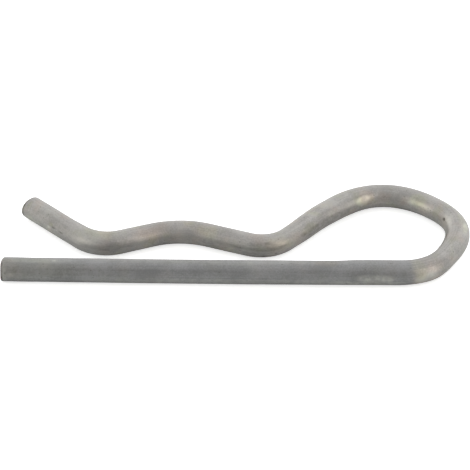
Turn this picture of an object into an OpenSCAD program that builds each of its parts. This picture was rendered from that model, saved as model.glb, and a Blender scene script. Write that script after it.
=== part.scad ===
// Hitch R-clip: one length of round spring wire, bent in one plane.
//
// The straight leg goes through the cross hole of a shaft, and the waved leg
// springs over the outside of that shaft and holds it in the pin seat.
//
// The clip lies flat in the XY plane. The origin is on the straight leg's axis,
// level with the middle of the pin seat, where the shaft's own axis would be.
// +X runs along the leg to the eye and +Y to the waved leg. Sizes are in mm.

/* [Wire] */
// Diameter of the round wire
wire_d = 4; // [3:0.1:5]
// Radius that cropping leaves round the edge of each cut end
edge_r = 0.5; // [0.1:0.05:0.8]

/* [Clip] */
// Overall length, from the straight leg's free end to the outside of the eye
clip_l = 78.5; // [62:0.5:100]

/* [Eye] */
// Inside diameter of the eye, the coil that gives the clip its spring
eye_id = 19.5; // [15:0.1:26]
// Slope of the straight from the eye down to the neck
eye_slope = 48.6; // [35:0.1:60]

/* [Neck] */
// Gap between the straight leg and the neck
neck_gap = 3.7; // [2.8:0.1:4.8]
// Inside radius of the neck's bend
neck_r = 3.75; // [2.5:0.05:5]
// Slope of the flank from the neck up to the pin seat
neck_slope = 21; // [17:0.1:26]

/* [Pin seat] */
// Height of the seat's underside above the straight leg's axis
seat_h = 9.6; // [8:0.1:12]
// Inside radius of the seat's bend
seat_r = 10.8; // [8:0.1:13]

/* [Nose] */
// Slope of the flank from the pin seat down to the nose
nose_slope = 22.5; // [18:0.1:27]
// Gap between the straight leg and the nose
nose_gap = 3.9; // [3:0.1:5]
// Inside radius of the nose's bend
nose_r = 4.15; // [2.5:0.05:5.5]

/* [Tip] */
// Slope of the flared tip, which guides the shaft in under the nose
tip_slope = 44.5; // [35:0.1:55]
// Straight length of the tip
tip_l = 13.4; // [9:0.1:18]

/* [Hidden] */
$fa = 3;
$fs = 0.25;

wire_r = wire_d / 2;
// Bending stretches the wire, so its radius is this much less in a bend
bend_thin = 0.025;
bent_r = wire_r - bend_thin;
// How far a straight runs on into the bend that it meets
lap = 0.25;

// Bend radii at the middle of the wire
eye_br = eye_id / 2 + bent_r;
neck_br = neck_r + bent_r;
seat_br = seat_r + bent_r;
nose_br = nose_r + bent_r;

// Heights of the wire's own axis over the straight leg's axis
neck_y = wire_r + neck_gap + bent_r;
seat_y = seat_h + bent_r;
nose_y = wire_r + nose_gap + bent_r;

// Length of the straight between two bends that turn opposite ways, which
// lets the wire rise by `rise` at the given slope: the bends take the rest.
function flank_l(rise, radii, slope) = (rise - radii * (1 - cos(slope))) / sin(slope);
// Distance along the leg between the centres of two such bends
function flank_x(rise, radii, slope) =
    radii * sin(slope) + flank_l(rise, radii, slope) * cos(slope);

// The eye's bend turns past its own top, which counts as part of the fall
eye_fall = 2 * eye_br - neck_y;

eye_x = flank_x(eye_fall, eye_br + neck_br, eye_slope)
    + flank_x(seat_y - neck_y, neck_br + seat_br, neck_slope);
leg_l = clip_l - eye_br - bent_r;

// The wire as a bending machine takes it, from the straight leg's free end:
// the straight that is fed, and then the bend's radius and its turn to the left.
BENDS = [
    [leg_l, eye_br, 180 + eye_slope],
    [flank_l(eye_fall, eye_br + neck_br, eye_slope), neck_br, -(eye_slope + neck_slope)],
    [flank_l(seat_y - neck_y, neck_br + seat_br, neck_slope), seat_br, neck_slope + nose_slope],
    [flank_l(seat_y - nose_y, seat_br + nose_br, nose_slope), nose_br, -(nose_slope + tip_slope)],
];

// A straight of the wire along +X, from x = from to x = to
module straight(from, to) {
    translate([from, 0, 0]) rotate([0, 90, 0]) cylinder(h = to - from, r = wire_r);
}

// A bend that starts along +X and turns left, or right where turn is negative
module bend(r, turn) {
    mirror([0, turn < 0 ? 1 : 0, 0])
        translate([0, r, 0]) rotate([0, 0, -90])
            rotate_extrude(angle = abs(turn)) translate([r, 0]) circle(r = bent_r);
}

// Puts its children where such a bend ends, facing along the wire
module after_bend(r, turn) {
    side = sign(turn) * r;
    translate([0, side, 0]) rotate([0, 0, turn]) translate([0, -side, 0]) children();
}

// The last edge_r of a cropped end, with its edge rolled over, facing +X
module cut_end() {
    rotate([0, 90, 0]) rotate_extrude() {
        square([wire_r - edge_r, edge_r]);
        translate([wire_r - edge_r, 0]) intersection() {
            circle(r = edge_r);
            square(edge_r);
        }
    }
}

// The bend of row i, everything that follows it, and the tip at the end.
// The bend starts at the origin, where the straight before it ends.
module wire_from(i) {
    bend(BENDS[i][1], BENDS[i][2]);
    after_bend(BENDS[i][1], BENDS[i][2])
        if (i + 1 < len(BENDS)) {
            straight(-lap, BENDS[i + 1][0] + lap);
            translate([BENDS[i + 1][0], 0, 0]) wire_from(i + 1);
        } else {
            straight(-lap, tip_l - edge_r);
            translate([tip_l - edge_r, 0, 0]) cut_end();
        }
}

// The whole clip, from the straight leg's free end to the tip
module clip() {
    color([0.62, 0.61, 0.59]) translate([eye_x, 0, 0]) {
        translate([edge_r - BENDS[0][0], 0, 0]) mirror([1, 0, 0]) cut_end();
        straight(edge_r - BENDS[0][0], lap);
        wire_from(0);
    }
}

clip();
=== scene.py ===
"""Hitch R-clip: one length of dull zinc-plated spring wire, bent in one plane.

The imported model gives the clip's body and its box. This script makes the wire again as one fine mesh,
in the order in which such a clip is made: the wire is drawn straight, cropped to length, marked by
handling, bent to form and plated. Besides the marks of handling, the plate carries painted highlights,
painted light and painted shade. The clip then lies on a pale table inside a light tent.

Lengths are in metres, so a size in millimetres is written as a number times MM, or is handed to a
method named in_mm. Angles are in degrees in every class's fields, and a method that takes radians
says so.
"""

import logging
import math
from dataclasses import dataclass, field
from enum import Enum
from typing import Iterable

import bmesh
import bpy
from mathutils import Matrix, Vector, noise

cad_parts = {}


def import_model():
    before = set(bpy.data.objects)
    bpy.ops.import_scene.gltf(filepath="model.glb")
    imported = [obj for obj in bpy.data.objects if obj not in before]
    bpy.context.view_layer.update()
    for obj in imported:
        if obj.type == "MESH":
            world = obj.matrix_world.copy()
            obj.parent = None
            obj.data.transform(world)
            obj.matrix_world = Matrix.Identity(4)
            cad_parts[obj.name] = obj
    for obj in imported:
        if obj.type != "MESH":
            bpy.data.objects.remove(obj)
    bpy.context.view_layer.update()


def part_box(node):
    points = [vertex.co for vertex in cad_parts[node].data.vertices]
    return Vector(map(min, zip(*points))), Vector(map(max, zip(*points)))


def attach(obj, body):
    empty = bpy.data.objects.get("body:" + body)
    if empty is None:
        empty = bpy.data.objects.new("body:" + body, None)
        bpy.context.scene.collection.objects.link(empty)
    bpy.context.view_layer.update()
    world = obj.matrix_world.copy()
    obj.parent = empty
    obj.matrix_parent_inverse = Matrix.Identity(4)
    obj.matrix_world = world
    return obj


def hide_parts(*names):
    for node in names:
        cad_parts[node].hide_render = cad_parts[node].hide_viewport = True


MM = 0.001
NODE = "clip"
BODY = "root"
DRAWN = "drawn"  # mesh layer: where a point lay on the straight wire
FORMED = "formed"  # mesh layer: 0 on the straight leg, whose tone is painted darker as shade, and 1 from the eye on
QUAD = 4  # sides of a face on the wire's side
MIX_FIRST, MIX_SECOND, MIX_RESULT = 6, 7, 2  # sockets of a Mix node that mixes colours
WHITE = (1.0, 1.0, 1.0, 1.0)

Colour = tuple[float, float, float, float]
Socket = bpy.types.NodeSocket

log = logging.getLogger("hitch_clip")


def _smooth(share: float) -> float:
    """Eases a share from 0 to 1."""
    held = min(max(share, 0.0), 1.0)
    return held * held * (3 - 2 * held)


# -------------------- the form of the wire


class Turn(Enum):
    """The way a bend turns, seen from above by someone who goes along the wire."""

    LEFT = 1
    RIGHT = -1


@dataclass(frozen=True)
class Straight:
    """A straight stretch of the wire."""

    length: float


@dataclass(frozen=True)
class Bend:
    """A bent stretch of the wire. Its radius is that of the wire's middle line."""

    radius: float
    degrees: float
    turn: Turn

    @property
    def length(self) -> float:
        """Length of wire that the bend takes."""
        return self.radius * math.radians(self.degrees)


@dataclass(frozen=True)
class Place:
    """A place on the bent wire: its middle, the way that it heads, and the way to its left."""

    point: Vector
    ahead: Vector
    left: Vector


@dataclass(frozen=True)
class ClipForm:
    """The clip's driving sizes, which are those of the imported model."""

    wire_d: float = 4.0 * MM
    bend_thin: float = 0.025 * MM
    clip_l: float = 78.5 * MM
    eye_id: float = 19.5 * MM
    eye_slope: float = 48.6  # degrees, as every slope here
    neck_gap: float = 3.7 * MM
    neck_r: float = 3.75 * MM
    neck_slope: float = 21.0
    seat_h: float = 9.6 * MM
    seat_r: float = 10.8 * MM
    nose_slope: float = 22.5
    nose_gap: float = 3.9 * MM
    nose_r: float = 4.15 * MM
    tip_slope: float = 44.5
    tip_l: float = 13.4 * MM

    @property
    def wire_r(self) -> float:
        """Radius of the straight wire."""
        return self.wire_d / 2

    @property
    def bent_r(self) -> float:
        """Radius of the wire in a bend, where it has stretched."""
        return self.wire_r - self.bend_thin

    @staticmethod
    def flank(rise: float, radii: float, slope: float) -> float:
        """Length of the straight between two bends that turn opposite ways.

        Args:
            rise: How far the wire's middle line moves sideways over both bends and the straight.
            radii: Sum of the two bends' radii.
            slope: Slope of the straight, in degrees.

        Returns:
            The straight's length.
        """
        angle = math.radians(slope)
        return (rise - radii * (1 - math.cos(angle))) / math.sin(angle)

    @property
    def leg_l(self) -> float:
        """Length of the straight leg, from its free end to the start of the eye."""
        return self.clip_l - (self.eye_id / 2 + self.bent_r) - self.bent_r

    def stretches(self) -> list[Straight | Bend]:
        """The wire from the straight leg's free end to the tip.

        Returns:
            Straights and bends by turns, starting and ending with a straight.
        """
        eye, neck = self.eye_id / 2 + self.bent_r, self.neck_r + self.bent_r
        seat, nose = self.seat_r + self.bent_r, self.nose_r + self.bent_r
        neck_y = self.wire_r + self.neck_gap + self.bent_r
        seat_y = self.seat_h + self.bent_r
        nose_y = self.wire_r + self.nose_gap + self.bent_r
        return [
            Straight(self.leg_l),
            Bend(eye, 180 + self.eye_slope, Turn.LEFT),
            Straight(self.flank(2 * eye - neck_y, eye + neck, self.eye_slope)),
            Bend(neck, self.eye_slope + self.neck_slope, Turn.RIGHT),
            Straight(self.flank(seat_y - neck_y, neck + seat, self.neck_slope)),
            Bend(seat, self.neck_slope + self.nose_slope, Turn.LEFT),
            Straight(self.flank(seat_y - nose_y, seat + nose, self.nose_slope)),
            Bend(nose, self.nose_slope + self.tip_slope, Turn.RIGHT),
            Straight(self.tip_l),
        ]


class BentLine:
    """The middle line of the bent wire, which finds a place by its distance along the wire."""

    def __init__(self, form: ClipForm, free_end_x: float) -> None:
        """Lays the stretches end to end.

        Args:
            form: The clip's driving sizes.
            free_end_x: Where along X the straight leg's free end lies.
        """
        self.stretches = form.stretches()
        self.starts: list[tuple[float, Vector, float]] = []
        along, point, heading = 0.0, Vector((free_end_x, 0.0, 0.0)), 0.0
        for stretch in self.stretches:
            self.starts.append((along, point, heading))
            place = self._walk(stretch, point, heading, stretch.length)
            along += stretch.length
            point = place.point
            heading = math.atan2(place.ahead.y, place.ahead.x)
        self.length = along

    @staticmethod
    def _walk(stretch: Straight | Bend, point: Vector, heading: float, distance: float) -> Place:
        """Goes a distance along one stretch.

        Args:
            stretch: The straight or bend.
            point: Where the stretch starts.
            heading: Its direction there, in radians from +X.
            distance: How far to go along it.

        Returns:
            The place reached.
        """
        if isinstance(stretch, Straight):
            ahead = Vector((math.cos(heading), math.sin(heading), 0.0))
            left = Vector((-ahead.y, ahead.x, 0.0))
            return Place(point + ahead * distance, ahead, left)
        side = stretch.turn.value
        turned = heading + side * distance / stretch.radius
        to_centre = Vector((-math.sin(heading), math.cos(heading), 0.0)) * side * stretch.radius
        ahead = Vector((math.cos(turned), math.sin(turned), 0.0))
        left = Vector((-ahead.y, ahead.x, 0.0))
        return Place(point + to_centre - left * side * stretch.radius, ahead, left)

    def at(self, along: float) -> Place:
        """Finds a place by its distance from the straight leg's free end.

        Args:
            along: The distance, which may pass either end of the wire by a little.

        Returns:
            The place there.
        """
        index = max((i for i, start in enumerate(self.starts) if start[0] <= along), default=0)
        start, point, heading = self.starts[index]
        return self._walk(self.stretches[index], point, heading, along - start)

    def span(self, index: int) -> tuple[float, float]:
        """Where one stretch starts and ends, by its number along the wire."""
        start = self.starts[index][0]
        return start, start + self.stretches[index].length


# -------------------- what marks the wire, and the highlights and shade painted on it


class Mark(Enum):
    """What a mark does to the plating. The value names the mesh layer that holds it."""

    # darkens the plate: real dirt, stains and nicks, and also painted shade
    GRIME_AND_SHADE = "grime_and_shade"
    # lightens the plate: real rubs and chips, and also painted highlights and painted light
    SCUFF_AND_HIGHLIGHT = "scuff_and_highlight"
    BLUSH = "blush"
    OLIVE = "olive"


@dataclass(frozen=True)
class SkinPatch:
    """A patch of the wire's skin: a nick, stain or rub, a painted highlight, or painted shade. Around is
    its side of the wire: 0 is left of travel, and 90 is up.
    """

    name: str
    mark: Mark
    along: float
    around: float
    length: float
    width: float
    strength: float
    depth: float = 0.0  # how far it sinks the wire, which is less than 0 for a bulge
    squareness: float = 2.0  # 2 for an ellipse, and more for squarer corners
    softness: float = 0.5  # share of the way to the middle that its rim takes

    @classmethod
    def in_mm(
        cls, name: str, mark: Mark, along: float, around: float, length: float, width: float,
        strength: float, squareness: float = 2.0, depth: float = 0.0,
    ) -> "SkinPatch":
        """A skin patch whose lengths are given in millimetres."""
        sizes = (length * MM, width * MM, strength, depth * MM, squareness)
        return cls(name, mark, along * MM, around, *sizes)

    def share(self, along: float, around: float, radius: float) -> float:
        """How far a point of the surface is inside the patch.

        Args:
            along: The point's distance along the wire.
            around: Its side, in degrees.
            radius: The wire's radius.

        Returns:
            1 in the middle and 0 outside, with a soft rim.
        """
        ahead = abs(along - self.along) / (self.length / 2)
        turned = (around - self.around + 180) % 360 - 180
        across = abs(math.radians(turned)) * radius / (self.width / 2)
        if ahead > 1 or across > 1:
            return 0.0
        reach = (ahead**self.squareness + across**self.squareness) ** (1 / self.squareness)
        return _smooth((1 - reach) / self.softness)


@dataclass(frozen=True)
class Roll:
    """How a blade rolls an end over on the side that it presses."""

    side: float  # degrees round the wire
    depth: float
    start: float  # share of the radius, from the wire's middle


@dataclass(frozen=True)
class CroppedEnd:
    """A sheared end, with a broken edge, a torn face and the sides that the blades rolled over."""

    edge_r: float
    rolls: tuple[Roll, ...]
    tear: float = 0.03 * MM  # depth of the torn face's unevenness
    tear_size: float = 1.2 * MM

    def sunk(self, y: float, z: float, radius: float) -> float:
        """How far the face lies behind the wire's full length at one point.

        Args:
            y: The point's distance left of the wire's middle.
            z: Its height above the wire's middle.
            radius: The wire's radius.

        Returns:
            The distance, which the blades' rolls and the torn grain of the break make.
        """
        sunk = self.tear * (1 + noise.noise(Vector((y, z, 0.0)) / self.tear_size)) / 2
        for roll in self.rolls:
            side = math.radians(roll.side)
            reach = (y * math.cos(side) + z * math.sin(side)) / radius
            sunk += roll.depth * (max(reach - roll.start, 0.0) / (1 - roll.start)) ** 2
        return sunk


# -------------------- the wire's mesh


@dataclass
class WireStock:
    """The wire before bending: straight along +X from the origin, and closed at both ends."""

    radius: float
    length: float
    segments: int = 128
    pitch: float = 0.26 * MM
    end_step: float = 1.2 * MM
    end_cuts: int = 6
    end_share: float = 0.9  # share of end_step behind a cut in which its points move
    face_rings: int = 5
    bevel_segments: int = 7
    same_place: float = 0.01 * MM
    mesh: bmesh.types.BMesh = field(default_factory=bmesh.new)

    def draw(self) -> None:
        """Draws the round section out to the wire's length, with fine rings between its two ends."""
        upright = Matrix.Rotation(math.radians(90), 4, "Y")
        bmesh.ops.create_circle(
            self.mesh, cap_ends=False, segments=self.segments, radius=self.radius, matrix=upright
        )
        middle = self.length - 2 * self.end_step
        rim = self.mesh.edges[:]
        for step in (self.end_step, middle, self.end_step):
            drawn = bmesh.ops.extrude_edge_only(self.mesh, edges=rim)["geom"]
            ahead = {v for v in drawn if isinstance(v, bmesh.types.BMVert)}
            bmesh.ops.translate(self.mesh, verts=list(ahead), vec=(step, 0, 0))
            rim = [e for e in drawn if isinstance(e, bmesh.types.BMEdge) and ahead.issuperset(e.verts)]
        long_edges = [e for e in self.mesh.edges if e.calc_length() > middle / 2]
        bmesh.ops.subdivide_edges(self.mesh, edges=long_edges, cuts=round(middle / self.pitch) - 1)

    def crop(self, ends: tuple[CroppedEnd, CroppedEnd]) -> None:
        """Closes both ends, rounds their edges, and rolls and tears their faces.

        Args:
            ends: The end at the origin, and the far one.
        """
        rims = [e for e in self.mesh.edges if e.is_boundary]
        bmesh.ops.holes_fill(self.mesh, edges=rims, sides=0)
        bmesh.ops.recalc_face_normals(self.mesh, faces=self.mesh.faces)
        faces = sorted(self._end_faces(), key=lambda f: f.calc_center_median().x)
        for face, end in zip(faces, ends):
            beyond = face.calc_center_median().x
            bmesh.ops.bevel(
                self.mesh,
                geom=list(face.edges),
                offset=end.edge_r,
                offset_type="OFFSET",
                segments=self.bevel_segments,
                profile=0.5,
                affect="EDGES",
                material=-1,
                clamp_overlap=True,
            )
            self._ring_face(beyond)
            self._sink(beyond, end)
        left_long = [e for e in self.mesh.edges if e.calc_length() > 2 * self.pitch]
        bmesh.ops.subdivide_edges(self.mesh, edges=left_long, cuts=self.end_cuts)

    def _end_faces(self) -> list[bmesh.types.BMFace]:
        """The flat end faces that have no rings yet, which alone have more than four sides."""
        return [f for f in self.mesh.faces if len(f.verts) > QUAD]

    def _ring_face(self, x: float) -> None:
        """Gives the flat face at x a few rings and a middle point.

        Args:
            x: Where the face lies along the wire.
        """
        flat = [f for f in self._end_faces() if abs(f.calc_center_median().x - x) < self.same_place]
        flat_r = (flat[0].verts[0].co - flat[0].calc_center_median()).length
        step = flat_r / (self.face_rings + 1)
        for _ in range(self.face_rings):
            bmesh.ops.inset_region(self.mesh, faces=flat, thickness=step, depth=0, use_even_offset=True)
        bmesh.ops.poke(self.mesh, faces=flat)

    def _sink(self, x: float, end: CroppedEnd) -> None:
        """Moves the end's points back to where the blade left them.

        Args:
            x: Where the end lies along the wire.
            end: The cropped end.
        """
        inwards = 1 if x < self.length / 2 else -1
        for vert in self.mesh.verts:
            depth = (vert.co.x - x) * inwards
            if depth < self.end_step * self.end_share:
                vert.co.x += inwards * end.sunk(vert.co.y, vert.co.z, self.radius)


@dataclass(frozen=True)
class BakeSheet:
    """Lays the wire out flat for baking: its side as long strips, and its two cut faces above."""

    name: str = "OFBake"
    strips: int = 4
    margin: float = 0.006
    facing_end: float = 0.7  # a face whose normal lies along the wire by more than this is a cut one
    far_face: float = 0.5  # share of the sheet's width at which the far cut face starts

    def lay(self, mesh: bmesh.types.BMesh, radius: float, length: float) -> None:
        """Gives the straight wire its bake map.

        Args:
            mesh: The straight wire.
            radius: Its radius.
            length: Its length.
        """
        layer = mesh.loops.layers.uv.new(self.name)
        strip_length, girth = length / self.strips, 2 * math.pi * radius
        along_scale = (1 - 2 * self.margin) / strip_length
        round_scale = (1 - (self.strips + 2) * self.margin) / (self.strips * girth + 2 * radius)
        row = girth * round_scale + self.margin
        mesh.normal_update()
        for face in mesh.faces:
            middle = face.calc_center_median()
            if abs(face.normal.x) > self.facing_end:
                left = self.margin if middle.x < length / 2 else self.far_face
                for loop in face.loops:
                    across = (loop.vert.co.y + radius) * along_scale
                    up = (loop.vert.co.z + radius) * round_scale
                    loop[layer].uv = (left + across, self.margin + self.strips * row + up)
                continue
            strip = min(int(middle.x / strip_length), self.strips - 1)
            facing = math.atan2(middle.z, middle.y)
            for loop in face.loops:
                turned = math.atan2(loop.vert.co.z, loop.vert.co.y) - facing
                turned = (turned + math.pi) % (2 * math.pi) - math.pi
                around = (facing + math.pi + turned) * radius * round_scale
                along = (loop.vert.co.x - strip * strip_length) * along_scale
                loop[layer].uv = (self.margin + along, self.margin + strip * row + around)


@dataclass(frozen=True)
class Course:
    """A length that changes along the wire, given at points and eased between them."""

    points: tuple[tuple[float, float], ...]

    @classmethod
    def in_mm(cls, *points: tuple[float, float]) -> "Course":
        """A course whose points are given in millimetres."""
        return cls(tuple((along * MM, size * MM) for along, size in points))

    def at(self, along: float) -> float:
        """Reads the length at one place.

        Args:
            along: The place's distance along the wire.

        Returns:
            The length there, which is held beyond the first and the last point.
        """
        for (start, before), (end, after) in zip(self.points, self.points[1:]):
            if start <= along <= end:
                return before + (after - before) * _smooth((along - start) / (end - start))
        return self.points[0][1] if along < self.points[0][0] else self.points[-1][1]


@dataclass(frozen=True)
class HandBent:
    """How the bent wire departs from its true form: aside is to the left, and swell is on its radius."""

    aside: Course
    swell: Course


@dataclass
class ClipWire:
    """The whole clip, made from straight wire stock and bent to form."""

    form: ClipForm
    line: BentLine
    ends: tuple[CroppedEnd, CroppedEnd]
    skin_patches: list[SkinPatch]
    hand: HandBent
    name: str = "clip_wire"
    skin: float = 0.8  # share of the radius beyond which a point is on the wire's side
    late: float = 2.5 * MM  # how far into the eye's bend its tone starts, where the leg's painted shade ends
    ease: float = 1.2 * MM  # length of wire over which it sets in
    wave: float = 0.010 * MM
    wave_size: float = 4.5 * MM
    ripple: float = 0.0055 * MM
    ripple_size: float = 1.3 * MM
    settle: float = 0.6  # taken off wave and ripple, so that they sink the skin more than they lift it
    same_ring: float = 0.0005 * MM  # points that differ less along the wire share a ring
    lift: float = 0.50  # share of the swell that goes upwards, on a wire that lies on a table

    def build(self) -> bpy.types.Object:
        """Makes the clip.

        Returns:
            The finished mesh object, with its place in its mesh.
        """
        stock = WireStock(self.form.wire_r, self.line.length)
        stock.draw()
        stock.crop(self.ends)
        self._mark(stock.mesh)
        BakeSheet().lay(stock.mesh, self.form.wire_r, self.line.length)
        self._bend(stock.mesh)
        mesh = bpy.data.meshes.new(self.name)
        stock.mesh.to_mesh(mesh)
        stock.mesh.free()
        mesh.shade_smooth()
        clip = bpy.data.objects.new(self.name, mesh)
        bpy.context.scene.collection.objects.link(clip)
        return clip

    def _mark(self, mesh: bmesh.types.BMesh) -> None:
        """Writes where each point lies on the straight wire, and dents and stains it there, and paints
        highlights, light and shade on it.

        Args:
            mesh: The straight wire.
        """
        drawn = mesh.verts.layers.float_vector.new(DRAWN)
        tones = {mark: mesh.verts.layers.float.new(mark.value) for mark in Mark}
        formed = mesh.verts.layers.float.new(FORMED)
        eye_start = self.line.span(1)[0]
        for vert in mesh.verts:
            vert[drawn] = vert.co
            along, around = vert.co.x, math.degrees(math.atan2(vert.co.z, vert.co.y))
            vert[formed] = _smooth((along - eye_start - self.late) / self.ease)
            if math.hypot(vert.co.y, vert.co.z) < self.skin * self.form.wire_r:
                continue
            sunk = 0.0
            for skin_patch in self.skin_patches:
                share = skin_patch.share(along, around, self.form.wire_r)
                if share > 0:
                    vert[tones[skin_patch.mark]] = max(vert[tones[skin_patch.mark]], share * skin_patch.strength)
                    sunk += share * skin_patch.depth
            self._press(vert, sunk)

    def _press(self, vert: bmesh.types.BMVert, sunk: float) -> None:
        """Moves a point of the wire's side towards its middle, for dents and for the skin's unevenness.

        Args:
            vert: The point, on the straight wire.
            sunk: How deep the skin patches at the point are.
        """
        radial = Vector((0.0, vert.co.y, vert.co.z))
        swell = self.wave * (noise.noise(vert.co / self.wave_size) - self.settle)
        swell += self.ripple * (noise.noise(vert.co / self.ripple_size) - self.settle)
        vert.co += radial.normalized() * (swell - sunk)

    def _bend(self, mesh: bmesh.types.BMesh) -> None:
        """Bends the straight wire along its line, with the departures of the bent wire.

        Args:
            mesh: The straight wire.
        """
        rings: dict[int, tuple[Place, float, float]] = {}
        for vert in mesh.verts:
            along, across, up = vert.co
            ring = round(along / self.same_ring)
            if ring not in rings:
                rings[ring] = (self.line.at(along), self._girth(along), self.hand.aside.at(along))
            place, girth, aside = rings[ring]
            lifted = up * (1 + (girth - 1) * self.lift) if up > 0 else up
            vert.co = place.point + place.left * (across * girth + aside) + Vector((0, 0, lifted))

    def _girth(self, along: float) -> float:
        """How many times its drawn width the bent wire is wide."""
        return 1 + self.hand.swell.at(along) / self.form.wire_r


# -------------------- finishes


@dataclass(frozen=True)
class Pattern:
    """A noise pattern, and how far it is moved so that it differs from the others."""

    size: float
    detail: float
    shift: float = 0.0


@dataclass(frozen=True)
class Fade:
    """A smooth change from one result to another while a value goes from low to high."""

    low: float
    high: float
    to_low: float = 0.0
    to_high: float = 1.0


class NodeBoard:
    """Adds and joins the nodes of one material or world."""

    def __init__(self, owner: bpy.types.Material | bpy.types.World) -> None:
        """Clears the owner's nodes.

        Args:
            owner: The material or world that the nodes make.
        """
        owner.use_nodes = True
        self.tree = owner.node_tree
        self.tree.nodes.clear()

    def add(
        self, kind: str, inputs: dict[str | int, object] | None = None, **settings: object
    ) -> bpy.types.Node:
        """Adds a node.

        Args:
            kind: The node's type, without its ShaderNode prefix.
            inputs: Values for its inputs, or the output sockets that feed them.
            settings: Values for its own properties.

        Returns:
            The node.
        """
        node = self.tree.nodes.new("ShaderNode" + kind)
        for key, value in settings.items():
            setattr(node, key, value)
        for key, value in (inputs or {}).items():
            if isinstance(value, Socket):
                self.tree.links.new(value, node.inputs[key])
            else:
                node.inputs[key].default_value = value
        return node

    def value(self, name: str) -> Socket:
        """The output that reads one of the mesh's named values."""
        return self.add("Attribute", attribute_name=name).outputs["Fac"]

    def noise(self, vector: Socket, pattern: Pattern) -> Socket:
        """Adds a noise pattern.

        Args:
            vector: The coordinates that it reads, in metres.
            pattern: The pattern.

        Returns:
            The output with the noise, about 0.5 on average.
        """
        moved = self.add("Mapping", {"Vector": vector, "Location": (pattern.shift,) * 3}).outputs[0]
        inputs = {"Vector": moved, "Scale": 1 / pattern.size, "Detail": pattern.detail}
        return self.add("TexNoise", inputs).outputs["Fac"]

    def ramp(self, value: Socket, fade: Fade) -> Socket:
        """Maps a value smoothly from one range to another, and holds it at both ends.

        Args:
            value: The output to map.
            fade: The two ranges.

        Returns:
            The mapped output.
        """
        inputs = {"Value": value, "From Min": fade.low, "From Max": fade.high}
        inputs |= {"To Min": fade.to_low, "To Max": fade.to_high}
        return self.add("MapRange", inputs, interpolation_type="SMOOTHSTEP").outputs[0]

    def band(self, angle: Socket, low: float, high: float, rim: float) -> Socket:
        """Adds a share that is 1 between two angles and fades to 0 outside.

        Args:
            angle: The angle, in radians.
            low: Where the band starts, in degrees, at the middle of its rim.
            high: Where it ends, likewise.
            rim: How many degrees each edge takes to fade.

        Returns:
            The output with the share.
        """
        middle, half = math.radians(low + high) / 2, math.radians(high - low) / 2
        off = self.add("Math", {0: angle, 1: middle}, operation="SUBTRACT").outputs[0]
        near = self.add("Math", {0: off, 1: math.pi, 2: -math.pi}, operation="WRAP").outputs[0]
        away = self.add("Math", {0: near}, operation="ABSOLUTE").outputs[0]
        fade = math.radians(rim) / 2
        return self.ramp(away, Fade(half - fade, half + fade, 1.0, 0.0))

    def sum(self, *terms: tuple[Socket, float]) -> Socket:
        """Adds values up, each times its own factor.

        Args:
            terms: Pairs of an output and its factor.

        Returns:
            The output with the sum.
        """
        total: object = 0.0
        for socket, factor in terms:
            inputs = {0: socket, 1: factor, 2: total}
            total = self.add("Math", inputs, operation="MULTIPLY_ADD").outputs[0]
        return total

    def times(self, first: object, second: object) -> Socket:
        """Multiplies two values."""
        return self.add("Math", {0: first, 1: second}, operation="MULTIPLY").outputs[0]

    def tint(self, share: object, colour: object, tint: object) -> Socket:
        """Multiplies a colour by a tint.

        Args:
            share: How much of the tint is used, or the output that gives it.
            colour: The colour.
            tint: The tint.

        Returns:
            The output with the tinted colour.
        """
        inputs = {0: share, MIX_FIRST: colour, MIX_SECOND: tint}
        return self.add("Mix", inputs, data_type="RGBA", blend_type="MULTIPLY").outputs[MIX_RESULT]

    def mix(self, factor: object, first: object, second: object) -> Socket:
        """Mixes two colours.

        Args:
            factor: The second colour's share, or the output that gives it.
            first: The first colour.
            second: The second colour.

        Returns:
            The output with the mixed colour.
        """
        inputs = {0: factor, MIX_FIRST: first, MIX_SECOND: second}
        return self.add("Mix", inputs, data_type="RGBA").outputs[MIX_RESULT]


@dataclass(frozen=True)
class PatchyMark:
    """A mark that lies unevenly on the plate, as rubs and stains do, and as its painted highlights and
    painted shade do too.
    """

    mark: Mark
    patches: Pattern
    fade: Fade

    def share(self, board: NodeBoard, drawn: Socket) -> Socket:
        """The output with how strong the mark is, from its mesh layer and its patches."""
        uneven = board.ramp(board.noise(drawn, self.patches), self.fade)
        return board.times(board.value(self.mark.value), uneven)


@dataclass(frozen=True)
class CloudyTint:
    """A tint that lies on the plate in soft clouds, and wherever a mark asks for it."""

    colour: Colour
    clouds: Pattern
    fade: Fade
    strength: float
    mark: Mark

    def over(self, board: NodeBoard, drawn: Socket, here: Socket, colour: Socket) -> Socket:
        """Tints a colour.

        Args:
            board: The material's nodes.
            drawn: Where the point lay on the straight wire.
            here: How much of the clouds this part of the wire has.
            colour: The colour below.

        Returns:
            The output with the tinted colour.
        """
        clouds = board.times(board.ramp(board.noise(drawn, self.clouds), self.fade), here)
        share = board.sum((clouds, self.strength), (board.value(self.mark.value), 1.0))
        return board.tint(share, colour, self.colour)


@dataclass(frozen=True)
class Skin:
    """The patterns that the plate's colour, gloss and relief share, as outputs of its nodes."""

    drawn: Socket
    mottle: Socket
    streak: Socket
    grain: Socket
    pore: Socket
    scuffed_and_highlit: Socket
    grimy_and_shaded: Socket


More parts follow.
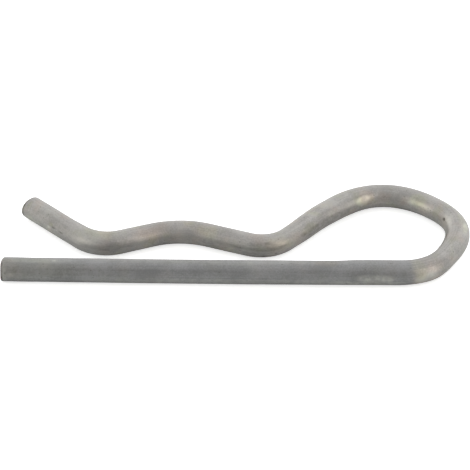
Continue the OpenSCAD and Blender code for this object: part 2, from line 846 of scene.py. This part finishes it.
@dataclass(frozen=True)
class ZincPlate:
    """Dull zinc plate over drawn wire: soft mottling, drawing lines, fine grain and a few dark pores."""

    # the straight leg's tone is darker than the bent wire's, as painted shade
    shaded_leg_tone: Colour = (0.2105, 0.213, 0.2165, 1)
    formed_tone: Colour = (0.298, 0.290, 0.282, 1)
    # the colour of grime, and also of painted shade
    grime_and_shade_tone: Colour = (0.085, 0.080, 0.070, 1)
    # the colour of rubs, and also of painted highlights and painted light
    scuff_and_highlight_tone: Colour = (0.460, 0.465, 0.430, 1)
    metallic: float = 0.55
    roughness: float = 0.40
    relief: float = 0.012 * MM
    relief_share: float = 0.5

    mottle: Pattern = Pattern(5.0 * MM, 3.0)
    streak: Pattern = Pattern(0.28 * MM, 2.0)
    grain: Pattern = Pattern(0.27 * MM, 2.0)
    draw: float = 0.02  # how fast the streaks change along the wire, as a share of across it
    pore_spacing: float = 0.85 * MM
    pore_rim: Fade = Fade(0.08, 0.20, 1.0, 0.0)
    pore_fields: Pattern = Pattern(2.4 * MM, 1.0, 0.53)
    pore_edge: Fade = Fade(0.52, 0.60)
    pore_dark: float = 0.45

    blush: CloudyTint = CloudyTint(
        (1.08, 1.0, 0.95, 1), Pattern(3.4 * MM, 2.0, 0.31), Fade(0.48, 0.70), 0.7, Mark.BLUSH
    )
    olive: CloudyTint = CloudyTint(
        (0.98, 1.0, 0.88, 1), Pattern(3.0 * MM, 2.0, 0.77), Fade(0.50, 0.72), 0.75, Mark.OLIVE
    )
    scuffs_and_highlights: PatchyMark = PatchyMark(
        Mark.SCUFF_AND_HIGHLIGHT, Pattern(1.1 * MM, 2.0, 0.19), Fade(0.36, 0.64, 0.55, 1.40)
    )
    grime_and_shade: PatchyMark = PatchyMark(
        Mark.GRIME_AND_SHADE, Pattern(0.9 * MM, 2.0, 0.62), Fade(0.36, 0.64, 0.60, 1.35)
    )
    cloudy: Fade = Fade(0.0, 1.0, 0.35, 1.0)  # clouds of tint, on the leg and from the eye on
    level: Fade = Fade(0.26, 0.46, 0.82, 1.18)

    shade_parts: tuple[float, ...] = (0.34, 0.14, 0.24)  # mottle, streak and grain
    rough_parts: tuple[float, ...] = (0.10, 0.08, 0.10, 0.15)  # grain, mottle, scuffs and painted highlights, and grime and painted shade
    rough_mean: float = 0.09  # what grain and mottle add to the roughness on average
    height_parts: tuple[float, ...] = (0.6, 0.4, -0.8)  # grain, streak and pores

    def material(self) -> bpy.types.Material:
        """Makes the finish.

        Returns:
            The material, which reads the wire as it was before bending.
        """
        material = bpy.data.materials.new("zinc_plate")
        board = NodeBoard(material)
        skin = self._skin(board)
        height = board.sum(*zip((skin.grain, skin.streak, skin.pore), self.height_parts))
        inputs = {"Strength": self.relief_share, "Distance": self.relief, "Height": height}
        bump = board.add("Bump", inputs)
        inputs = {"Base Color": self._colour(board, skin), "Metallic": self.metallic}
        inputs |= {"Roughness": self._rough(board, skin), "Normal": bump.outputs[0]}
        shader = board.add("BsdfPrincipled", inputs)
        board.add("OutputMaterial", {"Surface": shader.outputs[0]})
        return material

    def _skin(self, board: NodeBoard) -> Skin:
        """Adds the patterns that several of the shader's inputs share.

        Args:
            board: The material's nodes.

        Returns:
            The patterns' outputs.
        """
        drawn = board.add("Attribute", attribute_name=DRAWN).outputs["Vector"]
        lines = board.add("Mapping", {"Vector": drawn, "Scale": (self.draw, 1.0, 1.0)}).outputs[0]
        cells = board.add("TexVoronoi", {"Vector": drawn, "Scale": 1 / self.pore_spacing})
        sparse = board.ramp(board.noise(drawn, self.pore_fields), self.pore_edge)
        return Skin(
            drawn=drawn,
            mottle=board.noise(drawn, self.mottle),
            streak=board.noise(lines, self.streak),
            grain=board.noise(drawn, self.grain),
            pore=board.times(board.ramp(cells.outputs["Distance"], self.pore_rim), sparse),
            scuffed_and_highlit=self.scuffs_and_highlights.share(board, drawn),
            grimy_and_shaded=self.grime_and_shade.share(board, drawn),
        )

    def _colour(self, board: NodeBoard, skin: Skin) -> Socket:
        """Adds the plate's colour, from the bare tone through rubs and painted highlights up to grime
        and painted shade.

        Args:
            board: The material's nodes.
            skin: The shared patterns.

        Returns:
            The output with the colour.
        """
        formed = board.value(FORMED)
        # the leg's darker tone is painted shade
        plain = board.mix(formed, self.shaded_leg_tone, self.formed_tone)
        shade = board.sum(*zip((skin.mottle, skin.streak, skin.grain), self.shade_parts))
        level = board.ramp(shade, self.level)
        grey = board.add("CombineColor", {0: level, 1: level, 2: level}).outputs[0]
        # lightens rubs and painted highlights
        rubbed_and_highlit = board.mix(skin.scuffed_and_highlit, board.tint(1.0, plain, grey), self.scuff_and_highlight_tone)
        here = board.ramp(formed, self.cloudy)
        blushed = self.blush.over(board, skin.drawn, here, rubbed_and_highlit)
        tinted = self.olive.over(board, skin.drawn, here, blushed)
        # darkens pores, grime and painted shade
        dark = board.sum((skin.pore, self.pore_dark), (skin.grimy_and_shaded, 1.0))
        return board.mix(dark, tinted, self.grime_and_shade_tone)

    def _rough(self, board: NodeBoard, skin: Skin) -> Socket:
        """Adds the plate's roughness.

        Args:
            board: The material's nodes.
            skin: The shared patterns.

        Returns:
            The output with the roughness.
        """
        parts = board.sum(*zip((skin.grain, skin.mottle, skin.scuffed_and_highlit, skin.grimy_and_shaded), self.rough_parts))
        inputs = {0: parts, 1: self.roughness - self.rough_mean}
        return board.add("Math", inputs, operation="ADD").outputs[0]


# -------------------- the studio


@dataclass(frozen=True)
class Table:
    """The pale table that the clip lies on, lifted to white for the camera as a bleached ground is."""

    half_width: float = 1.5
    albedo: Colour = (0.73, 0.745, 0.75, 1)
    roughness: float = 0.30
    ior: float = 1.9
    seen_lift: float = 0.65  # light added where the camera looks at it
    mirrored_lift: float = 0.03  # light added where the metal mirrors it

    def build(self, height: float) -> bpy.types.Object:
        """Makes the table top.

        Args:
            height: The height of its surface.

        Returns:
            The table top.
        """
        top = bmesh.new()
        bmesh.ops.create_grid(top, x_segments=1, y_segments=1, size=self.half_width)
        bmesh.ops.translate(top, verts=top.verts, vec=(0, 0, height))
        mesh = bpy.data.meshes.new("table")
        top.to_mesh(mesh)
        top.free()
        mesh.materials.append(self._material())
        table = bpy.data.objects.new("table", mesh)
        bpy.context.scene.collection.objects.link(table)
        return table

    def _material(self) -> bpy.types.Material:
        """Makes the table's satin finish, with the light that the camera and mirrors see on top.

        Returns:
            The material.
        """
        material = bpy.data.materials.new("table_white")
        board = NodeBoard(material)
        path = board.add("LightPath").outputs
        rays = {0: path["Is Glossy Ray"], 1: path["Is Transmission Ray"]}
        mirrored = board.add("Math", rays, operation="MAXIMUM").outputs[0]
        lift = board.sum((path["Is Camera Ray"], self.seen_lift), (mirrored, self.mirrored_lift))
        inputs = {"Base Color": self.albedo, "Roughness": self.roughness, "IOR": self.ior}
        satin = board.add("BsdfPrincipled", inputs)
        glow = board.add("Emission", {"Color": WHITE, "Strength": lift})
        both = board.add("AddShader", {0: satin.outputs[0], 1: glow.outputs[0]})
        board.add("OutputMaterial", {"Surface": both.outputs[0]})
        return material


@dataclass(frozen=True)
class SoftBox:
    """A panel of the tent with a lamp outside. Azimuth 0 is in front, and 90 is to the right."""

    left: float  # degrees, as every edge here
    right: float
    low: float
    high: float
    rim: float
    level: float
    tint: tuple[float, float, float]

    def patch(self, board: NodeBoard, azimuth: Socket, elevation: Socket) -> Socket:
        """Adds the panel's light.

        Args:
            board: The world's nodes.
            azimuth: The azimuth that is looked in, in radians.
            elevation: The elevation that is looked in, in radians.

        Returns:
            The output with the panel's colour.
        """
        wide = board.band(azimuth, self.left, self.right, self.rim)
        tall = board.band(elevation, self.low, self.high, self.rim)
        level = board.times(board.times(wide, tall), self.level)
        return board.add("VectorMath", {0: self.tint, "Scale": level}, operation="SCALE").outputs[0]


@dataclass(frozen=True)
class LightTent:
    """A tent of white cloth lit from outside, with a dim slit in front where the camera looks in."""

    wall: float = 0.93
    roof: float = 1.05
    roof_from: float = 55.0  # degrees, as every edge here
    roof_rim: float = 24.0
    slit: float = 0.52
    slit_edges: tuple[float, float] = (-40.0, 33.0)
    slit_foot: float = -90.0
    slit_top: float = 60.0
    slit_rim: float = 20.0
    panels: tuple[SoftBox, ...] = (
        SoftBox(-79, -48, -20, 44, 16, 1.70, (1.0, 0.96, 0.82)),
        SoftBox(47, 72, -20, 48, 18, 2.60, (1.0, 0.92, 0.80)),
        SoftBox(-162, -122, -30, 34, 26, 1.25, (1.0, 0.96, 0.88)),
        SoftBox(122, 160, -20, 50, 26, 1.00, (1.0, 1.0, 0.97)),
        SoftBox(168, 196, -20, 60, 20, 0.40, (1.0, 0.98, 0.95)),
        SoftBox(-150, -97, -30, 14, 16, 0.40, (1.0, 1.0, 0.92)),
        SoftBox(-50, 50, -30, 15, 18, 0.12, (0.92, 1.0, 0.90)),
        SoftBox(50, 180, 55, 88, 24, 0.14, (0.98, 0.98, 1.0)),
    )

    def build(self) -> None:
        """Lights the scene with the tent's cloth, while the camera itself sees plain white."""
        world = bpy.data.worlds.new("light_tent")
        board = NodeBoard(world)
        towards = board.add("TexCoord").outputs["Generated"]
        axes = board.add("SeparateXYZ", {0: towards}).outputs
        ahead = board.times(axes["Y"], -1.0)
        azimuth = board.add("Math", {0: axes["X"], 1: ahead}, operation="ARCTAN2").outputs[0]
        elevation = board.add("Math", {0: axes["Z"]}, operation="ARCSINE").outputs[0]
        start, end = (math.radians(self.roof_from + side * self.roof_rim / 2) for side in (-1, 1))
        cloth = board.ramp(elevation, Fade(start, end, self.wall, self.roof))
        narrow = board.band(azimuth, *self.slit_edges, self.slit_rim)
        below = board.band(elevation, self.slit_foot, self.slit_top, self.slit_rim)
        slit = board.times(narrow, below)
        dimmer = board.add("Math", {0: self.slit, 1: cloth}, operation="SUBTRACT").outputs[0]
        level = board.add("Math", {0: dimmer, 1: slit, 2: cloth}, operation="MULTIPLY_ADD").outputs[0]
        glow = board.add("CombineXYZ", {0: level, 1: level, 2: level}).outputs[0]
        for panel in self.panels:
            patch = panel.patch(board, azimuth, elevation)
            glow = board.add("VectorMath", {0: glow, 1: patch}, operation="ADD").outputs[0]
        light = board.add("Background", {"Color": glow, "Strength": 1.0})
        white = board.add("Background", {"Color": WHITE, "Strength": 1.0})
        camera = board.add("LightPath").outputs["Is Camera Ray"]
        shown = board.add("MixShader", {0: camera, 1: light.outputs[0], 2: white.outputs[0]})
        board.add("OutputWorld", {"Surface": shown.outputs[0]})
        bpy.context.scene.world = world


@dataclass(frozen=True)
class Viewpoint:
    """The camera: it looks down on the clip from the straight leg's side."""

    aim: tuple[float, float, float] = (9.279 * MM, 10.266 * MM, 0.389 * MM)
    distance: float = 300.8 * MM
    elevation: float = 34.2  # degrees
    roll: float = 0.55  # degrees, anticlockwise
    lens: float = 135.34  # millimetres
    sensor: float = 36.0  # millimetres
    nearest: float = 10 * MM

    def build(self) -> None:
        """Adds the camera and makes it the scene's own."""
        data = bpy.data.cameras.new("camera")
        data.lens = self.lens
        data.sensor_width = self.sensor
        data.clip_start = self.nearest
        camera = bpy.data.objects.new("camera", data)
        tilt = Matrix.Rotation(math.radians(90 - self.elevation), 4, "X")
        turned = tilt @ Matrix.Rotation(math.radians(self.roll), 4, "Z")
        back = turned.to_3x3() @ Vector((0, 0, self.distance))
        camera.matrix_world = Matrix.Translation(Vector(self.aim) + back) @ turned
        bpy.context.scene.collection.objects.link(camera)
        bpy.context.scene.camera = camera


# -------------------- the whole scene


LEG_END = CroppedEnd(
    edge_r=0.34 * MM,
    rolls=(Roll(side=56.0, depth=0.31 * MM, start=0.25), Roll(side=146.0, depth=0.10 * MM, start=0.0)),
)
TIP_END = CroppedEnd(
    edge_r=0.24 * MM,
    rolls=(Roll(side=120.0, depth=0.30 * MM, start=0.30), Roll(side=62.0, depth=0.24 * MM, start=0.45)),
)
# Each pair is a distance along the wire and the departure there, in millimetres
HAND_BENT = HandBent(
    aside=Course.in_mm(
        (0.0, 0.13), (7.0, 0.05), (15.0, 0.00), (24.0, -0.08), (40.0, -0.10),
        (50.0, -0.07), (64.5, 0.11), (71.0, -0.22), (77.0, 0.28), (86.0, -0.36),
        (93.5, 0.10), (101.5, -0.14), (109.3, 0.30), (116.2, -0.12), (122.3, 0.08),
        (131.0, -0.03), (154.0, 0.01), (161.5, -0.12), (166.0, -0.03), (171.0, -0.06),
    ),
    swell=Course.in_mm(
        (2.0, 0.05), (7.0, 0.01), (30.0, 0.00), (46.0, 0.02), (54.0, 0.02),
        (59.0, 0.12), (70.5, 0.12), (75.5, -0.10), (82.5, 0.10), (90.5, -0.05),
        (101.0, 0.01), (109.5, 0.23), (118.5, 0.08), (124.5, -0.10), (131.0, 0.00),
        (138.0, 0.04), (146.0, 0.00), (152.5, 0.05), (159.0, 0.14), (165.5, 0.00),
        (173.0, 0.03),
    ),
)
# Name, mark, place along and around, length, width, strength, squareness and depth, in millimetres
SKIN_PATCHES = [
    SkinPatch.in_mm(*row)
    for row in (
        ("clamp_bulge", Mark.SCUFF_AND_HIGHLIGHT, 62.5, 56, 12.5, 4.6, 0.0, 3.0, -0.06),
        ("pad_flat", Mark.SCUFF_AND_HIGHLIGHT, 61.9, 176, 7.6, 1.8, 0.43, 4.0, 0.03),
        ("eye_nick", Mark.GRIME_AND_SHADE, 86.8, 28, 1.2, 0.8, 0.7, 2.0, 0.05),
        ("neck_nick", Mark.GRIME_AND_SHADE, 128.8, 42, 0.9, 0.7, 0.5, 2.0, 0.03),
        ("neck_dot", Mark.GRIME_AND_SHADE, 129.1, -33, 0.9, 0.6, 0.8, 2.0, 0.02),
        ("eye_smear_a", Mark.GRIME_AND_SHADE, 119.0, 20, 2.6, 0.7, 0.45, 2.0, 0.01),
        ("eye_smear_b", Mark.GRIME_AND_SHADE, 114.9, 18, 2.2, 0.6, 0.3, 2.0, 0.01),
        ("tip_chip", Mark.SCUFF_AND_HIGHLIGHT, 167.9, 3, 1.2, 0.9, 0.8, 2.0, 0.02),
        ("tip_smear_a", Mark.GRIME_AND_SHADE, 166.8, 16, 1.2, 0.5, 0.45, 2.0, 0.01),
        ("tip_smear_b", Mark.GRIME_AND_SHADE, 164.8, 14, 1.6, 0.5, 0.4, 2.0, 0.01),
        ("leg_speck", Mark.SCUFF_AND_HIGHLIGHT, 8.9, 95, 0.9, 0.6, 0.5, 2.0, 0.01),
        # painted highlight on the eye's outer rim
        ("eye_rim_painted_highlight", Mark.SCUFF_AND_HIGHLIGHT, 82.9, 129, 3.2, 1.6, 0.5),
        ("pad_rim", Mark.SCUFF_AND_HIGHLIGHT, 61.4, 167, 5.0, 0.5, 0.25),
        ("pad_spot", Mark.SCUFF_AND_HIGHLIGHT, 63.0, 180, 1.6, 1.0, 0.25),
        ("leg_end_rim", Mark.GRIME_AND_SHADE, 0.0, 168, 1.1, 5.8, 0.95, 4.0),
        ("leg_end_lip", Mark.SCUFF_AND_HIGHLIGHT, 0.75, 158, 0.7, 5.0, 0.16, 4.0),
        ("leg_end_olive", Mark.OLIVE, 3.0, 140, 26.0, 6.0, 0.35),
        ("leg_end_blush", Mark.BLUSH, 1.0, 140, 7.0, 5.0, 0.3),
        ("leg_end_brown", Mark.GRIME_AND_SHADE, 2.7, 155, 0.8, 0.5, 0.35, 2.0, 0.01),
        ("leg_end_dot", Mark.GRIME_AND_SHADE, 0.9, 165, 0.5, 0.5, 0.35, 2.0, 0.01),
        ("leg_end_chip", Mark.SCUFF_AND_HIGHLIGHT, 1.6, 172, 1.2, 0.8, 0.15, 2.0, 0.01),
        # painted shade along the lower flank of the bent wire
        ("flank_painted_shade", Mark.GRIME_AND_SHADE, 132.0, -25, 64.0, 2.8, 0.10, 4.0),
        ("tip_rim", Mark.GRIME_AND_SHADE, 175.3, 28, 1.5, 4.8, 0.9, 4.0),
        ("tip_line", Mark.OLIVE, 173.9, 56, 0.7, 1.8, 1.0, 2.0, 0.01),
        # a thin darker line along the tip
        ("tip_dark_line", Mark.GRIME_AND_SHADE, 169.0, -24, 11.0, 0.4, 0.25, 4.0),
        ("leg_blush", Mark.BLUSH, 53.9, 92, 5.0, 2.2, 0.5),
        ("start_olive", Mark.OLIVE, 68.8, 130, 2.8, 5.0, 0.6),
        # pink tint that paints the colour of the highlight where the eye's bend starts
        ("start_highlight_tint", Mark.BLUSH, 71.6, 134, 3.6, 3.0, 0.4),
        # yellow tint that paints the colour of the eye's second painted highlight
        ("eye_painted_highlight_tint_b", Mark.OLIVE, 94.6, 44, 4.6, 3.0, 1.0),
        # painted highlight on the eye's top
        ("eye_painted_highlight", Mark.SCUFF_AND_HIGHLIGHT, 106.3, 25, 4.8, 2.3, 0.60),
        # a second painted highlight on the eye's top
        ("eye_painted_highlight_b", Mark.SCUFF_AND_HIGHLIGHT, 93.6, 18, 7.6, 1.8, 0.62),
        # painted highlight at the neck
        ("neck_painted_highlight", Mark.SCUFF_AND_HIGHLIGHT, 126.2, 18, 4.6, 2.3, 0.20, 3.0),
        # painted highlight on the nose
        ("nose_painted_highlight", Mark.SCUFF_AND_HIGHLIGHT, 159.5, 42, 3.4, 2.0, 0.12),
        # painted highlight low on the wire where the eye's bend starts
        ("start_painted_highlight", Mark.SCUFF_AND_HIGHLIGHT, 69.8, 189, 4.6, 2.6, 0.50),
        # a darker patch after the eye's bend starts
        ("start_darker", Mark.GRIME_AND_SHADE, 74.0, 124, 5.0, 3.6, 0.14),
        # painted highlight on the eye's side
        ("side_painted_highlight", Mark.SCUFF_AND_HIGHLIGHT, 85.6, 34, 6.0, 2.8, 0.28),
        # painted light over the eye's side
        ("eye_painted_light_b", Mark.SCUFF_AND_HIGHLIGHT, 100.0, 52, 13.0, 5.6, 0.07, 3.0),
        # painted light over the eye's top
        ("eye_painted_light_c", Mark.SCUFF_AND_HIGHLIGHT, 108.4, 56, 10.0, 6.0, 0.13, 3.0),
        # a darker band on the slope
        ("slope_darker", Mark.GRIME_AND_SHADE, 115.5, 0, 16.0, 1.8, 0.30, 3.0),
        # a darker patch on the seat
        ("seat_darker", Mark.GRIME_AND_SHADE, 134.6, 34, 7.0, 5.2, 0.12),
        # a darker patch near the leg's end
        ("leg_darker", Mark.GRIME_AND_SHADE, 11.0, 144, 28.0, 3.0, 0.18, 3.0),
        # painted light along the leg's underside, in place of the floor's reflection
        ("leg_low_painted_light", Mark.SCUFF_AND_HIGHLIGHT, 38.0, 206, 62.0, 2.2, 0.17, 4.0),
        # painted highlight along the leg's upper side
        ("leg_top_painted_highlight", Mark.SCUFF_AND_HIGHLIGHT, 36.0, 88, 50.0, 2.0, 0.11, 4.0),
        # painted highlight on the upper side of the leg's end
        ("leg_end_painted_highlight", Mark.SCUFF_AND_HIGHLIGHT, 6.0, 92, 14.0, 1.7, 0.13, 3.0),
        # painted highlight streak on the eye's side
        ("side_painted_highlight_streak", Mark.SCUFF_AND_HIGHLIGHT, 86.6, 68, 4.4, 0.9, 0.16),
        ("slope_stain_a", Mark.GRIME_AND_SHADE, 122.2, 18, 2.2, 0.8, 0.38),
        ("slope_stain_b", Mark.GRIME_AND_SHADE, 119.6, 17, 3.6, 0.8, 0.42),
        ("slope_stain_c", Mark.GRIME_AND_SHADE, 114.0, 18, 4.4, 0.7, 0.32),
        ("slope_olive", Mark.OLIVE, 120.5, 30, 5.0, 2.0, 0.7),
        ("seat_stain_a", Mark.GRIME_AND_SHADE, 138.6, -8, 2.4, 0.7, 0.20),
        ("seat_stain_b", Mark.GRIME_AND_SHADE, 147.0, -28, 3.6, 0.9, 0.16),
        # a lighter patch on the neck
        ("neck_lighter", Mark.SCUFF_AND_HIGHLIGHT, 124.5, 84, 7.0, 4.4, 0.13, 3.0),
        # painted light on the neck's lower flank
        ("neck_low_painted_light", Mark.SCUFF_AND_HIGHLIGHT, 130.4, 12, 5.0, 1.7, 0.20, 3.0),
        # a lighter patch on the eye's side
        ("side_lighter_b", Mark.SCUFF_AND_HIGHLIGHT, 81.4, 112, 6.0, 4.4, 0.10, 3.0),
        # a lighter patch on the nose
        ("nose_lighter", Mark.SCUFF_AND_HIGHLIGHT, 160.0, 76, 8.0, 5.0, 0.11, 3.0),
        # a lighter patch on the tip
        ("tip_lighter", Mark.SCUFF_AND_HIGHLIGHT, 169.6, 68, 9.0, 2.2, 0.15, 3.0),
        # painted light on the tip's lower flank
        ("tip_low_painted_light", Mark.SCUFF_AND_HIGHLIGHT, 170.6, -8, 8.0, 1.6, 0.22, 3.0),
        # painted shade along the wave's lower flank, softening a reflected dark line
        ("flank_painted_shade_band", Mark.GRIME_AND_SHADE, 146.0, -8, 42.0, 1.4, 0.16, 4.0),
        # painted light along the wave's lower flank, lifting a reflected dark line
        ("flank_painted_light", Mark.SCUFF_AND_HIGHLIGHT, 147.0, 13, 36.0, 1.0, 0.10, 4.0),
        # a darker patch on the slope
        ("slope_darker_b", Mark.GRIME_AND_SHADE, 116.5, 36, 12.0, 2.4, 0.12),
        # painted shade under the eye's painted highlight
        ("eye_under_painted_shade", Mark.GRIME_AND_SHADE, 94.0, 3, 6.0, 1.2, 0.16),
        # painted shade under the eye's other painted highlight
        ("eye_under_painted_shade_b", Mark.GRIME_AND_SHADE, 107.0, -2, 8.0, 1.2, 0.16),
        # a lighter patch after the eye's bend starts
        ("start_lighter", Mark.SCUFF_AND_HIGHLIGHT, 78.6, 152, 10.0, 3.0, 0.11, 3.0),
        # painted light on the leg's underside by the clamp mark
        ("clamp_low_painted_light", Mark.SCUFF_AND_HIGHLIGHT, 60.0, 203, 16.0, 1.4, 0.30, 3.0),
        # a darker patch on the nose
        ("nose_darker", Mark.GRIME_AND_SHADE, 154.5, 25, 6.0, 1.6, 0.20),
        # painted light on the nose's lower flank
        ("nose_low_painted_light", Mark.SCUFF_AND_HIGHLIGHT, 159.5, 8, 4.6, 1.5, 0.13),
        # a darker band on the tip
        ("tip_darker", Mark.GRIME_AND_SHADE, 168.0, 42, 15.0, 2.0, 0.13, 3.0),
        # a broad painted highlight at the neck
        ("neck_painted_highlight_patch", Mark.SCUFF_AND_HIGHLIGHT, 127.0, 30, 3.6, 3.2, 0.12, 5.0),
        # yellow tint that paints the colour of the neck's painted highlight
        ("neck_painted_highlight_tint", Mark.OLIVE, 127.2, 34, 4.2, 3.6, 0.35, 4.0),
        ("slope_fleck_a", Mark.SCUFF_AND_HIGHLIGHT, 114.8, 84, 2.0, 0.8, 0.20),
        ("slope_fleck_b", Mark.SCUFF_AND_HIGHLIGHT, 118.0, 90, 3.2, 0.8, 0.18),
        # painted shade across the neck's highlight
        ("neck_painted_shade", Mark.GRIME_AND_SHADE, 127.2, 37, 9.5, 1.4, 0.13, 3.0),
        # painted shade above the eye's painted highlight
        ("eye_over_painted_shade", Mark.GRIME_AND_SHADE, 93.6, 47, 5.0, 1.5, 0.12),
        # a darker patch on the eye's side
        ("side_darker", Mark.GRIME_AND_SHADE, 82.0, 72, 5.0, 3.0, 0.09),
        # a darker patch on the clamp mark
        ("clamp_darker", Mark.GRIME_AND_SHADE, 62.5, 144, 15.0, 2.8, 0.16, 3.0),
        # painted light on the tip's lower flank, in place of reflected light
        ("tip_flank_painted_light", Mark.SCUFF_AND_HIGHLIGHT, 170.0, -20, 12.0, 2.4, 0.42, 3.0),
        # pink tint that paints the colour of the eye's painted highlight
        ("eye_painted_highlight_tint", Mark.BLUSH, 105.4, 36, 4.6, 3.6, 1.0),
        ("seat_olive", Mark.OLIVE, 138.0, 54, 3.2, 3.4, 0.7),
        ("seat_blush", Mark.BLUSH, 149.6, 40, 8.0, 3.2, 0.6),
        ("tip_olive", Mark.OLIVE, 167.5, 25, 1.4, 0.9, 1.0),
    )
]


def main() -> None:
    """Builds the clip, its table, its light and its camera."""
    logging.basicConfig(level=logging.INFO, format="%(name)s: %(message)s")
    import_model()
    low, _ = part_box(NODE)
    bpy.context.scene.view_settings.view_transform = "Standard"

    form = ClipForm()
    line = BentLine(form, low.x)
    clip = ClipWire(form, line, (LEG_END, TIP_END), SKIN_PATCHES, HAND_BENT).build()
    clip.data.materials.append(ZincPlate().material())
    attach(clip, BODY)
    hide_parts(NODE)
    log.info("%s: %d faces, %.1f mm of wire", clip.name, len(clip.data.polygons), line.length / MM)

    Table().build(low.z)
    LightTent().build()
    Viewpoint().build()


if __name__ == "__main__":
    main()
